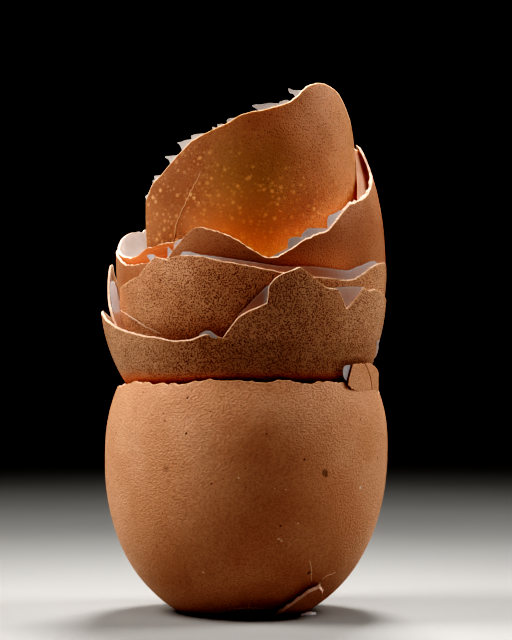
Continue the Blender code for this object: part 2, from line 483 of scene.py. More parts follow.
# %% [markdown]
# ## Bending a blank onto its egg
# Each vertex has three numbers: its turn gives the bearing, its height in the tube the share of
# the way from foot to rim, and its distance from the axis the depth in the shell. The break
# slants, as that of a real shell does, so its pale face shows from outside as a thin bright
# line, and it is rough with grains. A slow swell keeps the wall from being a perfect egg.
#
# A tuck draws a rim in towards the shell behind it, and thins it there. A lean turns the top
# against the foot. The vertex also keeps how far it lies under the rim, and how bright the rim
# shows there, for the finish to read.

# %% Bend
CROWDING = 1.3
GRAIN_SCALE, GRAIN_SHARE = 190, 0.25
SWELL_SIZE = 5
TUCK_REACH, TUCK_THINNING, TUCK_FULL = 7, 0.7, 0.3
BRIGHT_SLANT = 0.1


def bend(shape, egg, foot, rim, slant, wall=WALL, under=0.0, ripple=0.05, seed=0,
         ground=None, side=None, tuck=None, lean=None):
    """Every vertex of a blank goes to its bearing, height and depth on the egg.

    foot, rim, slant, tuck and lean give a number for each bearing. side is the first bearing,
    the last, and the slant of the edges there."""
    x, y, up = np.array([vertex.co for vertex in shape.verts]).T
    share = 1 - (1 - up) ** CROWDING
    bearing = np.degrees(np.arctan2(x, -y))
    deep = (1 - np.hypot(x, y)) / (1 - THIN)
    if side is not None:
        first, last, side_slant = side
        middle, half = (first + last) / 2, (last - first) / 2
        bearing = middle + (bearing - middle) * (1 + side_slant * deep / half)
    if lean:
        bearing = bearing + lean(bearing) * (up - 0.5)

    top = rim(bearing) + slant(bearing) * deep
    grains = np.array([noise.noise(vertex.co * GRAIN_SCALE) for vertex in shape.verts])
    on_break = (deep > 0.02) & (deep < 0.98) & (up > 0.99)
    top += np.where(on_break, GRAIN_SHARE * slant(bearing) * grains, 0)
    start = -math.pi / 2 if foot is None else egg.angle_at(foot(bearing) - slant(bearing) * deep)
    angle = start + (egg.angle_at(top) - start) * share

    shift = Vector((seed, 0, 0))
    skin = egg.points(bearing, angle)
    swell = np.array([noise.noise(Vector(spot) / SWELL_SIZE + shift) for spot in skin])
    sunk = under + wall * deep
    if tuck:
        close = np.clip(1 - (top - skin[:, 2]) / TUCK_REACH, 0, 1)
        drawn = tuck(bearing) * close * close * (3 - 2 * close)
        sunk = sunk * (1 - TUCK_THINNING * np.clip(drawn / TUCK_FULL, 0, 1)) + drawn
    spots = egg.points(bearing, angle, sunk - ripple * swell)
    if ground is not None:
        spots[:, 2] = np.maximum(spots[:, 2], ground + wall * deep)

    below = shape.verts.layers.float.new("below_rim")
    bright = shape.verts.layers.float.new("bright_rim")
    glows = np.clip(slant(bearing) / BRIGHT_SLANT, 0, 1)
    for vertex, spot, drop, glow in zip(shape.verts, spots, top - spots[:, 2], glows):
        vertex.co = spot * MM
        vertex[below] = drop
        vertex[bright] = glow
    if foot is None:
        bmesh.ops.remove_doubles(shape, verts=shape.verts, dist=0.003 * MM)
    agree(shape)
    return shape


trial = bend(blank(0, 360, 24, 6), CUP_EGG, None, tried, along([(0, 0.1)]))
print("bent onto an egg:", round(trial.calc_volume() / MM**3, 1), "mm3 of shell")
trial.free()

# %% [markdown]
# ## A finished piece
# Every piece rides on the one body, root. A fine shell stands for its packed solid, which stays
# hidden as its collision.

# %% A finished piece
pieces, skins, trims = {}, {}, {}


def piece_of(name, shape, node=None):
    """A finished piece: it rides on the one body, and may stand for its CAD node."""
    mesh = bpy.data.meshes.new(name)
    if shape.calc_volume(signed=True) < 0:
        bmesh.ops.reverse_faces(shape, faces=shape.faces)
    shape.to_mesh(mesh)
    volume = shape.calc_volume(signed=True) / MM**3
    shape.free()
    piece = bpy.data.objects.new(name, mesh)
    scene.collection.objects.link(piece)
    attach(piece, "root")
    if node:
        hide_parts(node)
        pieces[node] = piece
    triangles = sum(len(face.vertices) - 2 for face in mesh.polygons)
    print(f"{name}: {triangles} triangles, {volume:.0f} mm3")
    return piece


def gather(whole, part):
    """One shape joins another, by way of a mesh that is thrown away."""
    held = bpy.data.meshes.new("held")
    part.to_mesh(held)
    part.free()
    whole.from_mesh(held)
    bpy.data.meshes.remove(held)


print(len(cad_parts), "nodes to stand for")

# %% [markdown]
# ## The rims
# Each rim is its large corners, as (bearing, height): 0 is the front, 90 the right, and heights
# are millimetres over the ground. The front half is full of corners and the back half is calm.
# The shard has a foot of its own, hidden in the sixth shell.

# %% The rims
CUP_RIM = [
    (-90, 35.4), (-72, 35.7), (-62, 36.4), (-43, 36.2), (-30, 36.2), (-17, 37.1), (-9, 36.9),
    (5, 36.6), (19, 36.9), (25, 36.2), (34, 36.6), (48, 36.3), (54, 35.6), (60, 34.9),
    (68, 35.3), (80, 34.4), (96, 34.8), (130, 35.8), (170, 35.2), (220, 36),
]
SECOND_RIM = [
    (-110, 45.9), (-100, 46.6), (-92, 47.3), (-84, 46.9), (-79.5, 46.7), (-75.1, 46), (-72.1, 45.7),
    (-68.4, 45.4), (-63.5, 44.8), (-57, 44.3), (-51.5, 43.9), (-45.5, 43.5), (-38.9, 43.3), (-34, 43),
    (-28.9, 42.7), (-23.9, 42.8), (-20.4, 43), (-17.8, 43.4), (-15.3, 43.7), (-13.2, 43.7), (-10.5, 43.3),
    (-8.2, 43), (-4.2, 42.8), (4, 42.8), (23, 42.5), (42, 42.4), (62, 42.4), (70, 42.6), (76, 43.1),
    (84, 42.3), (95, 42.6), (110, 43), (150, 44.6), (200, 43.2), (235, 45.2),
]
THIRD_RIM = [
    (-114, 51.6), (-108, 51.9), (-105, 52.4), (-103, 53.5), (-101.2, 54.3), (-99.2, 54.7), (-96, 53.6),
    (-93, 51.8), (-90, 49.7), (-86, 48.3), (-81.6, 47.3), (-79.5, 46.3), (-77.6, 45.2), (-72, 43.4),
    (-62, 42.2), (-40, 41.6), (-16, 41.6), (-10.8, 43.1), (-8.1, 44.3), (-5.5, 45.5), (-2.9, 46.5),
    (-0.1, 47.1), (3.9, 47.7), (7.9, 48.4), (8.7, 49.6), (8.9, 51), (11.4, 52.1), (14.7, 52.9),
    (18.5, 53.4), (22.3, 53.9), (25.7, 53), (29.5, 51.8), (32.6, 51), (35, 50.7), (39, 50.6),
    (44.1, 47.6), (54.8, 50.9), (58.6, 50.4), (64, 50.7), (71.1, 50.3), (78.8, 49.5), (90, 49),
    (104, 49), (130, 51.6), (170, 49.4), (215, 52.4), (238, 51.8),
]
FOURTH_RIM = [
    (-110, 44.6), (-90, 45), (-84, 46), (-75.1, 48.3), (-70.4, 51), (-68.3, 51.2), (-52.5, 52.7),
    (-47, 54.4), (-42.6, 55.6), (-39.2, 55.3), (-36.4, 55.1), (-32.1, 55.6), (-24.6, 55.7), (-19.3, 55.5),
    (-11.8, 54.8), (-2, 54.2), (7.2, 53.5), (16.2, 52.9), (20.5, 52.5), (27.1, 52.4), (34.3, 52.3),
    (40, 52), (45.8, 52), (48.9, 52.2), (60.1, 54), (67.4, 54.6), (73.1, 54.8), (80, 54.9),
    (110, 53.6), (150, 55.2), (195, 53.4), (222, 52.8), (232, 46.8),
]
FIFTH_RIM = [
    (-100, 57.4), (-92, 57), (-86.8, 56.7), (-77, 55.7), (-71.3, 55), (-66.1, 54.5), (-60, 54.4),
    (-47.7, 54.7), (-43, 54.8), (-36, 55.4), (-34.5, 56.1), (-31.6, 57.3), (-28.8, 58.4), (-26.1, 59.3),
    (-23.9, 59.9), (-21.7, 60), (-17.2, 59.7), (-12.9, 59.2), (-7.9, 58.5), (-3.4, 57.5), (-0.2, 56.7),
    (4.7, 55.6), (7.9, 55.3), (11.2, 55.4), (15.4, 56.4), (18.9, 57.1), (21.5, 57.8), (27.9, 58.8),
    (34.4, 59.6), (38.4, 60.9), (43.6, 62.6), (48, 63.7), (54.1, 64.2), (58.6, 64.6), (64.5, 65.4),
    (69.7, 66.4), (75.8, 67.6), (81.9, 68.6), (86.1, 70), (90, 71.9), (94, 73.2), (97, 73.5), (100, 72.9),
    (102.4, 72.9), (105.6, 73.3), (113, 72.4), (125, 70), (140, 66.4), (175, 60), (215, 57.6), (245, 57.4),
]
SIXTH_RIM = [
    (-87.2, 56.9), (-78.4, 56.2), (-72.5, 55.8), (-62.4, 55.5), (-55.7, 55.9), (-48.3, 57), (-44.3, 57.1),
    (-40, 57.5), (-34.4, 57.7), (-30.3, 57.9), (-15, 56.6), (0, 54.6), (15, 53.6), (40, 55.6), (70, 57),
    (100, 57.4), (150, 56.6), (195, 56.8), (222, 59), (232.8, 60.1), (234.6, 60.6), (236, 60.1),
    (240, 60.2), (246, 60), (252, 59.5), (258, 58.8), (264.6, 57.9),
]
SHARD_RIM = [
    (-47, 64.4), (-44.4, 66), (-42.6, 67), (-37.8, 68.2), (-35, 69.2), (-32, 70.2), (-29, 71.2),
    (-26, 72.1), (-22.4, 73.3), (-16.6, 74.3), (-9.4, 75.4), (-3.7, 76.2), (1, 77.2), (6, 77.7),
    (11.9, 78), (19.2, 78.6), (27.1, 79.4), (32.1, 80.4), (35, 81.2), (38, 81.8), (41, 82.2),
    (47.5, 82.7), (52.6, 82.7), (58, 82.4), (64.1, 81.8), (68.4, 81.1), (72.6, 80), (77, 78.5),
    (84, 76.8), (92, 74.5), (98, 72), (110, 64), (118, 57),
]
SHARD_FOOT = [(-47, 52.6), (-20, 46.8), (20, 47.4), (60, 46.8), (100, 47.4), (118, 48.8)]
RIMS = [CUP_RIM, SECOND_RIM, THIRD_RIM, FOURTH_RIM, FIFTH_RIM, SIXTH_RIM, SHARD_RIM]
print("corners in each rim:", [len(rim) for rim in RIMS])

# %% [markdown]
# ## The six cups
# Each next egg sits in the one before, and higher, because eggs of like size jam where their
# widths meet. The lowest stands on the ground with its foot crushed flat. A cup is a whole
# turn of the blank with no foot line: its rows run down to the pole. Where a rim shows a thick
# pale edge, its break slants more, so each cup gets its slants at a few bearings.


# %% The lowest cup
COLUMNS, ROWS = 640, 44
CUP_BREAK = {"size": 0.2, "step": (0.8, 3.2)}
FINE_STEP = (0.6, 2.2)


def cup(name, egg, rim, slants, seed, size=0.06, step=FINE_STEP, ground=None, tuck=None):
    """A whole shell, closed at its foot and broken at its rim."""
    line = broken(rim, seed, size, step)
    shape = bend(blank(0, 360, COLUMNS, ROWS), egg, None, line, along(slants, 0.7, seed),
                 ground=ground, tuck=tuck, seed=seed)
    return piece_of(name + "_fine", shape, name)


CUP_SLANTS = [(-90, 0.13), (42, 0.13), (48, 0.02), (90, 0.02), (110, 0.13)]
cup("bottom_cup", CUP_EGG, CUP_RIM, CUP_SLANTS, 11, ground=0.0, **CUP_BREAK)

# %% [markdown]
# The second shell leans against the third at the front and right, so its rim is tucked in
# there and shows no pale break. The third ends in a thin tip at the left, where its edge is
# turned outwards and looks thick.

# %% The second and third shells
SECOND_SLANTS = [
    (-110, 0.2), (-95, 0.19), (-82, 0.16), (-66, 0.08), (-40, 0.07), (-14, 0.06), (-6, 0.0),
    (100, 0.0), (115, 0.1), (200, 0.2),
]
SECOND_TUCK = [
    (-18, 0), (-8, 0.7), (-4, 0.9), (4, 0.82), (15, 0.7), (23, 0.61), (35, 0.5), (42, 0.46),
    (52, 0.41), (62, 0.37), (78, 0.34), (100, 0.34), (115, 0), (200, 0),
]
THIRD_SLANTS = [
    (-112, 0.36), (-94, 0.3), (-77, 0.14), (-60, 0.08), (30, 0.09), (200, 0.2), (240, 0.25),
]
cup("second_shell", SECOND_EGG, SECOND_RIM, SECOND_SLANTS, 12, step=(0.7, 2.6), tuck=along(SECOND_TUCK))
cup("third_shell", THIRD_EGG, THIRD_RIM, THIRD_SLANTS, 13)

# %% [markdown]
# The fourth has two peaks at the left. The fifth is smooth, with a deep notch in front of the
# shard, and its rim climbs at the right into a thick pale edge. The sixth holds the shard.

# %% The upper three
FOURTH_SLANTS = [(-90, 0.1), (-40, 0.08), (0, 0.07), (180, 0.15)]
FIFTH_SLANTS = [
    (-95, 0.16), (-80, 0.11), (-62, 0.06), (-20, 0.06), (20, 0.12), (48, 0.25), (70, 0.4),
    (105, 0.4), (140, 0.2),
]
SIXTH_SLANTS = [(0, 0.05), (180, 0.08)]
cup("fourth_shell", FOURTH_EGG, FOURTH_RIM, FOURTH_SLANTS, 14)
cup("fifth_shell", FIFTH_EGG, FIFTH_RIM, FIFTH_SLANTS, 15, size=0.1, step=(0.6, 2.0))
cup("sixth_shell", SIXTH_EGG, SIXTH_RIM, SIXTH_SLANTS, 16)

# %% [markdown]
# ## The shard
# A fragment could be cut out of a cup, but then its sides would be bare cuts. It is the same
# blank with only part of the turn, so that it has side edges and a foot of its own. The tall
# shard reaches over a little less than half of its egg.


# %% The shard
def fragment(name, egg, first, last, foot, rim, columns, rows, slant, seed, size=0.06, side=0.4, **lay):
    """Part of a shell, between two bearings. foot is a row of corners, or a function already."""
    line = broken(rim, seed, size, (0.8, 2.5), whole=False)
    low = foot if callable(foot) else broken(foot, seed + 1, size, (0.8, 2.5), whole=False)
    shape = bend(blank(first, last, columns, rows), egg, low, line, along([(0, slant)], 0.6, seed),
                 side=(first, last, side), seed=seed, **lay)
    return piece_of(name + "_fine", shape, name)


SHARD_FIRST, SHARD_LAST = SHARD_FOOT[0][0], SHARD_FOOT[-1][0]
fragment("top_shard", SHARD_EGG, SHARD_FIRST, SHARD_LAST, SHARD_FOOT, SHARD_RIM, 300, 60, slant=0.09, seed=21)

# %% [markdown]
# ## The two tabs
# A small piece stands on the cup's rim at the right, cracked through, so that it is two. Both
# halves share one outline and one seed, and the crack is a narrow gap between them. They rest
# on the cup's own broken line, and lean so that the crack runs aslant.

# %% The two tabs
TAB_FIRST, TAB_BREAK, TAB_LAST, TAB_CRACK = 50.1, 65.6, 90, 0.6
TAB_LEAN = along([(TAB_FIRST, 3.6), (TAB_BREAK, -8.6), (TAB_LAST, 0)])
TAB_TOP = [
    (46, 38.9), (51.7, 39.1), (54.9, 39.2), (66.3, 39.3), (69.7, 39.1), (74.6, 38.6), (82, 38.0),
    (85.5, 37.5), (88.5, 36.3), (92, 35.0),
]
cup_line = broken(CUP_RIM, 11, **CUP_BREAK)


def tab_foot(bearing):
    """The tabs stand a little behind the cup's rim, and reach just under it."""
    return cup_line(bearing) - 0.4


for name, first, last, columns in (
    ("rim_tab_left", TAB_FIRST, TAB_BREAK - TAB_CRACK / 2, 60),
    ("rim_tab_right", TAB_BREAK + TAB_CRACK / 2, TAB_LAST, 90),
):
    fragment(name, TAB_EGG, first, last, tab_foot, TAB_TOP, columns, 20, slant=0.04, seed=31,
             size=0.1, side=0.1, lean=TAB_LEAN)

# %% [markdown]
# ## The chip
# Where the foot was crushed, a chip has been pushed out. Its egg is the cup's, a little lower
# and wider, and a negative tuck opens its upper edge, whose broken face slants strongly.

# %% The chip
CHIP_FOOT = [(22.3, 0.05), (34, 0.3), (40, 0.8), (46, 1.7), (49, 2.8)]
CHIP_TOP = [
    (22.3, 0.5), (29.1, 2.3), (32.9, 3.5), (36.1, 4.4), (40.4, 4.9), (42.1, 5.1), (45.6, 4.6),
    (48, 3.8), (49, 3.1),
]
fragment("foot_chip", CHIP_EGG, CHIP_FOOT[0][0], CHIP_FOOT[-1][0], CHIP_FOOT, CHIP_TOP, 90, 16,
         slant=0.56, seed=35, side=0.3, tuck=along([(0, -0.45)]), ground=0.0)

# %% [markdown]
# ## The flake
# A flat flake lies on the ground beside the chip, with its white inside up. It is too flat to
# be bent on an egg. Its outline is filled, cut fine, made uneven by noise, and raised to a thin
# slab.

# %% The flake
FLAKE_OUTLINE = [(9.5, -5.7), (10.2, -6.9), (11.9, -5.9), (12.6, -4.2), (11.5, -2.6), (10.8, -3.4)]
FLAKE_SHIFT = (-1.2, -0.9, 0)
FLAKE_WALL, FLAKE_LIFT, FLAKE_UNEVEN = 0.28, 0.02, 0.12
flake = bmesh.new()
corners = [flake.verts.new((x * MM, y * MM, 0)) for x, y in FLAKE_OUTLINE]
bmesh.ops.contextual_create(flake, geom=corners)
bmesh.ops.triangulate(flake, faces=flake.faces)
bmesh.ops.subdivide_edges(flake, edges=flake.edges, cuts=7, use_grid_fill=True)
for vertex in flake.verts:
    vertex.co += Vector(FLAKE_SHIFT) * MM
    vertex.co.z = (FLAKE_LIFT + FLAKE_UNEVEN * abs(noise.noise(vertex.co * 900))) * MM
agree(flake)
if sum(face.normal.z for face in flake.faces) < 0:
    bmesh.ops.reverse_faces(flake, faces=flake.faces)
lifted = bmesh.ops.extrude_face_region(flake, geom=list(flake.faces), use_keep_orig=True)["geom"]
bmesh.ops.translate(flake, vec=(0, 0, FLAKE_WALL * MM), verts=vertices(lifted))
agree(flake)
piece_of("foot_flake_fine", flake, "foot_flake")

# %% [markdown]
# ## Torn skin
# Under its shell an egg has a thin skin. Where the shell broke lower than the skin tore, the
# skin stands over the rim. It could be cloth, but it is stiff when dry and keeps the egg's
# curve, so each flap is a very thin fragment on the inner side of its egg, given by its lower
# and upper edge at a few bearings. A fourth number is the veil: how white and thick it is.


# %% Tatters
SKIN = 0.07
STILL = along([(0, 0.0)])


def tatters(name, egg, flaps, depth=0.3, seed=0, fray=0.05, veil=1.0):
    """Flaps of skin on one egg as one piece: each a list of (bearing, low, high, veil)."""
    gathered = bmesh.new()
    for number, flap in enumerate(flaps):
        bearings = [corner[0] for corner in flap]
        veils = [corner[3] if len(corner) > 3 else veil for corner in flap]
        width = math.radians(bearings[-1] - bearings[0]) * egg.radius
        shape = blank(bearings[0], bearings[-1], max(6, round(width / 0.15)), 6, grains=0)
        top = broken([(c[0], c[2]) for c in flap], seed + number, fray, (0.8, 2.0), whole=False)
        foot = broken([(c[0], c[1]) for c in flap], seed + number + 50, fray / 2, (0.8, 2.0), whole=False)
        bend(shape, egg, foot, top, STILL, SKIN, under=depth, ripple=0.03, seed=number)
        layer = shape.verts.layers.float.new("veil")
        for vertex in shape.verts:
            out = vertex.co / MM
            bearing = math.degrees(math.atan2(out.x - egg.x, egg.y - out.y))
            vertex[layer] = np.interp(bearing, bearings, veils)
        gather(gathered, shape)
    skins[name] = piece_of(name, gathered)


# %% [markdown]
# Along the shard's upper edge the skin is torn into a row of small fins.

# %% The shard's fins
tatters("shard_skin", SHARD_EGG, [
    [(27.4, 81.5, 81.7), (28, 80.9, 81.6), (30.1, 80.8, 81.4), (32.7, 79.9, 81.4), (37.5, 80.5, 81.4),
     (38.4, 80.7, 81.9), (42, 81.4, 82.5)],
    [(7.1, 78.7, 78.85), (9.4, 78.3, 79), (11.7, 77.6, 79), (15.4, 78, 79.25), (21.3, 78.5, 79.2),
     (21.9, 78.6, 79.55), (24.8, 79, 79.8), (28.2, 79.2, 79.6)],
    [(-5.5, 76.4, 76.5), (-4.3, 75.9, 76.8), (-2.4, 76.1, 76.8), (-1, 76.4, 76.9)],
    [(-10, 75.8, 75.95), (-9.6, 75.1, 75.9), (-7.7, 75.3, 75.95), (-6.5, 75.6, 75.9)],
    [(-12.6, 75.4, 75.5), (-11.5, 74.8, 75.5), (-10.8, 75, 75.4)],
    [(-23.1, 74.05, 74.2), (-22, 73.2, 74.3), (-21.6, 73.2, 74.4), (-19, 73.7, 74.45), (-16.9, 74.1, 74.5)],
    [(-30.2, 73.1, 73.25), (-28.8, 72.8, 73.25), (-28.1, 72.4, 73.3), (-27.4, 72, 73.4),
     (-26.4, 71.8, 73.5), (-25.6, 72, 73.55), (-22.4, 73.2, 73.7)],
    [(-36.9, 70.95, 71.1), (-34.6, 70.6, 71.2), (-33.9, 70.2, 71.15), (-32.9, 69.8, 71.2),
     (-31, 70.1, 71.2), (-29.4, 70.9, 71.3)],
    [(-43, 68, 68.15), (-42.3, 67.5, 68.2), (-41.1, 67.1, 68.2), (-39.2, 67.8, 68.3)],
    [(-43.9, 67.3, 67.45), (-42.9, 66.9, 67.6), (-42, 67, 67.4)],
    [(-48.8, 65, 65.1), (-47.4, 64.4, 65.25), (-46.3, 64.8, 65.5)],
], seed=60)

# %% [markdown]
# Round the fourth shell the skin stands up as a long band, white at the left end, thin and
# brown in the middle, and grey-lilac again at the right.

# %% The fourth shell's band
tatters("fourth_skin", FOURTH_EGG, [
    [(-30.1, 55.1, 55.7), (-29.1, 55, 56.3), (-25.5, 55, 56.3, 0.9), (-20.5, 55, 55.8, 0.8),
     (-12, 54.2, 55.45, 0.5), (0, 53.5, 54.75, 0.25), (7.4, 53, 54.3, 0.1), (16.5, 52.3, 53.95, 0.05),
     (26.2, 51.9, 54.05, 0.15), (32.4, 51.8, 53.85, 0.3), (39.6, 51.5, 53.6, 0.5), (44.8, 51.4, 53.5, 0.6),
     (51.3, 51.8, 54.15, 0.6), (61.9, 53.4, 55, 0.7), (65, 53.7, 55.1, 0.8), (68.6, 54, 54.8, 0.8)],
    [(-48.4, 55.7, 55.9), (-46.8, 55.2, 56), (-44.8, 54.2, 56), (-43.3, 54.6, 55.8)],
], seed=80)

# %% [markdown]
# The third shell has skin in its two notches at the right and in front, and inside its tip at
# the left, where a second and thinner flap fills in under the first.

# %% The third shell's notches
tatters("third_skin", THIRD_EGG, [
    [(38.3, 50, 50.9, 0.5), (44.6, 46.9, 51, 0.5), (49.6, 48.3, 51, 0.5), (56, 50.1, 51, 0.9)],
    [(-3.8, 45.9, 46.6, 0.15), (0, 46.6, 47.9, 0.1), (3.7, 47.3, 49.4, 0.1), (6.5, 47.8, 50.4, 0.3),
     (8, 48, 51, 0.9), (9.5, 48.1, 51.1)],
    [(-78.9, 48, 50.6, 0.9), (-77.4, 46.9, 51.6, 0.9), (-76.4, 46.8, 51.9, 0.8), (-72, 47, 52, 0.7),
     (-69.6, 47, 51.7, 0.6), (-68.4, 47.1, 50.9, 0.6), (-67.6, 47.4, 51.1, 0.6),
     (-66.8, 47.2, 49.7, 0.5), (-66.3, 48, 49.1, 0.5)],
    [(-78, 45.6, 47.4, 0.1), (-76, 44.9, 47.1, 0.1), (-72, 44.6, 47.2, 0.05), (-67, 44.2, 47.2, 0.05)],
], seed=90)

# %% [markdown]
# On the fifth shell the skin climbs in steps beside the notch, in front of the shard.

# %% The fifth shell's steps
tatters("fifth_skin", FIFTH_EGG, [
    [(7.9, 54.9, 55.3), (10.6, 55, 55.9), (12.7, 55.3, 56.3), (16.1, 56.3, 56.9)],
    [(15.6, 56.2, 57.3), (16.1, 56.2, 58.2), (17.4, 56.4, 58.45), (21.9, 57.5, 58.5), (23.3, 57.9, 58.6)],
    [(21.7, 57.5, 58.8), (23.8, 57.8, 59.6), (24.9, 58, 59.9), (34, 59.2, 59.9), (35.4, 59.5, 60)],
    [(34.5, 59.4, 61), (34.9, 59.4, 61.3), (35.5, 59.6, 61.9), (36.6, 60, 62),
     (40, 61, 62.4), (44, 62.3, 63)],
    [(47.8, 63.2, 63.8, 0.9), (48.6, 63.3, 64, 0.9), (52.1, 63.6, 64.3, 0.9), (55.1, 63.9, 64.35, 0.9)],
    [(-33.7, 56.2, 57.5, 0.9), (-32.1, 56.6, 58, 0.9), (-29.8, 57.5, 58.3, 0.9), (-28.4, 58, 58.3, 0.9)],
    [(-36.9, 54.9, 57.1, 1), (-35.6, 55.1, 56.8, 1), (-34.4, 55.8, 56.4, 1)],
], seed=100, veil=0.8)

# %% [markdown]
# The last three are single flaps: one on the second shell's rim, one beside the tabs, and a
# scrap that sticks on the outside at the right, so its depth is negative.

# %% Single flaps
tatters("second_skin", SECOND_EGG, [
    [(-19.5, 42.7, 43.1), (-17, 43.1, 43.9), (-15, 43.3, 44.3), (-13, 43.3, 44.2), (-10.8, 43, 43.5)],
], seed=110, veil=0.8)
tatters("tab_skin", TAB_EGG, [
    [(46.2, 37.6, 38.3), (46.8, 37.1, 38.8), (48, 36.7, 39), (50, 36.6, 39.1), (55, 36.6, 38.9, 0.8)],
], seed=120)
tatters("side_skin", SECOND_EGG, [
    [(71.5, 42.4, 42.6, 0.6), (73, 41.8, 42.7), (75, 41.3, 42.9), (76, 40.7, 42), (78, 40.1, 41.8, 0.6),
     (79.5, 40.2, 40.8, 0.5)],
], depth=-0.06, seed=130, veil=0.7)

# %% [markdown]
# ## Cracks
# Where a shell is cracked but still holds, light comes through the crack, so it shows as a thin
# bright line. It could be bump alone, but a bright line with a little thickness also shows in
# the plain mesh. Each crack is a narrow strip, drawn on its egg along a few corners with a
# slight jitter, thinner towards its ends, and given thickness.


# %% A crack's strip
DEGREES = 57.3
CRACK_STEP, CRACK_WALL, PROUD = 0.35, 0.1, 0.03
JITTER_UP, JITTER_ACROSS = 0.09, 0.2


def crack_line(shape, egg, corners, width, seed):
    """A tapering strip of faces on an egg, in millimetres wide."""
    chance = random.Random(seed)
    corners = np.array(corners, dtype=float)
    run = np.cumsum([0, *np.hypot(*(np.diff(corners, axis=0) * (egg.radius / DEGREES, 1)).T)])
    stops = np.linspace(0, run[-1], max(3, round(run[-1] / CRACK_STEP)))
    bearings, heights = np.interp(stops, run, corners[:, 0]), np.interp(stops, run, corners[:, 1])
    heights += [chance.uniform(-JITTER_UP, JITTER_UP) for _ in stops]
    bearings += [chance.uniform(-JITTER_ACROSS, JITTER_ACROSS) for _ in stops]
    lower = [shape.verts.new(egg.at(b, h, -PROUD)) for b, h in zip(bearings, heights)]
    edges = [shape.edges.new(pair) for pair in zip(lower, lower[1:])]
    slope_across = np.gradient(bearings) * egg.radius / DEGREES
    slope_up = np.gradient(heights)
    length = np.hypot(slope_across, slope_up) + 1e-9
    bmesh.ops.extrude_edge_only(shape, edges=edges)
    shape.verts.ensure_lookup_table()
    upper = list(shape.verts)[-len(lower):]
    for number, vertex in enumerate(upper):
        wide = width * (0.25 + 0.75 * math.sin(math.pi * (number + 0.5) / len(lower)) ** 0.5)
        b = bearings[number] - slope_up[number] / length[number] * wide * DEGREES / egg.radius
        h = heights[number] + slope_across[number] / length[number] * wide
        vertex.co = egg.at(b, h, -PROUD)


def cracks(name, lines, width):
    """Several cracks as one piece: each an egg and a row of (bearing, height)."""
    shape = bmesh.new()
    for number, (egg, corners) in enumerate(lines):
        part = bmesh.new()
        crack_line(part, egg, corners, width, number)
        agree(part)
        if sum(face.normal.xy.dot(face.calc_center_median().xy) for face in part.faces) < 0:
            bmesh.ops.reverse_faces(part, faces=part.faces)
        bmesh.ops.solidify(part, geom=list(part.faces), thickness=CRACK_WALL * MM)
        agree(part)
        gather(shape, part)
    trims[name] = piece_of(name, shape)


print("a crack stands", PROUD, "mm proud")

# %% [markdown]
# One long crack runs down the shard. The others are short: across the fourth shell's left end,
# over the chip, and at the crushed foot.

# %% Cracks
cracks("glowing_cracks", [
    (SHARD_EGG, [(-16.8, 68.5), (-18.9, 67.1), (-21.3, 65.7), (-25.1, 63.1), (-27.6, 61.4), (-29, 60.5),
                 (-29.6, 58.8), (-31.1, 57.6)]),
], width=0.09)
cracks("fine_cracks", [
    (FOURTH_EGG, [(-75.5, 47.4), (-69, 47.0), (-63.1, 46.3), (-57.5, 45.6), (-52.7, 44.9), (-48.3, 44.4),
                  (-43.1, 43.8)]),
    (CUP_EGG, [(-11.3, 1.55), (3.5, 1.8), (18, 1.7), (31.7, 1.45)]),
    (CUP_EGG, [(3.4, 2.6), (3.5, 1.8), (4.3, 0.5)]),
    (CUP_EGG, [(-31.8, 0.25), (-22, 0.5), (-13.1, 0.63)]),
    (CUP_EGG, [(31.9, 9.5), (34.5, 7.8), (37.7, 6.0)]),
    (CUP_EGG, [(45, 6.0), (48, 6.6), (53.2, 7.0)]),
], width=0.13)

# %% [markdown]
# ## Grit
# Grains of lime stand on the lowest shell. They are too few for a particle system: a few small
# icospheres, pressed flat and set on the egg, are one light piece.

# %% Grit
GRAINS = [
    (-2.6, 22.3), (11.6, 20.7), (16.0, 20.5), (22.4, 15.3), (14.7, 13.0), (16.0, 12.7), (53.9, 30.7),
    (-19.7, 7.7), (-24.7, 34.1),
]
grit = bmesh.new()
chance = random.Random(5)
GRAINS += [(chance.uniform(95, 265), chance.uniform(6, 32)) for _ in range(9)]
for bearing, height in GRAINS:
    made = bmesh.ops.create_icosphere(grit, subdivisions=2, radius=chance.uniform(0.1, 0.22) * MM)["verts"]
    bmesh.ops.scale(grit, vec=(chance.uniform(0.7, 1.2), 1, chance.uniform(0.6, 0.9)), verts=made)
    bmesh.ops.translate(grit, vec=CUP_EGG.at(bearing, height, 0.03), verts=made)
trims["grit"] = piece_of("grit", grit)

# %% [markdown]
# ## The brown of an egg
# A brown egg has its pigment in the last thin layer of its shell, so the colour lies unevenly:
# broad clouds, fine dark speckle where the pigment ran thick, and pores like pinpricks. The
# surface is dimpled like an orange's peel: two layers of noise, turned askew so that no row of
# lumps lies level, and painted darker where it dips, as painted shade. The shell lets light
# through, which a short subsurface distance gives. A painted image would have a seam, so the
# patterns are three-dimensional.


# %% Browns
SKEW = (0.6, 0.8, 0.4)
# the first colour is painted shade, for where the relief dips
HOLLOW_SHADE, RIM_LIGHT = tone(112, 62, 34), tone(252, 202, 158)


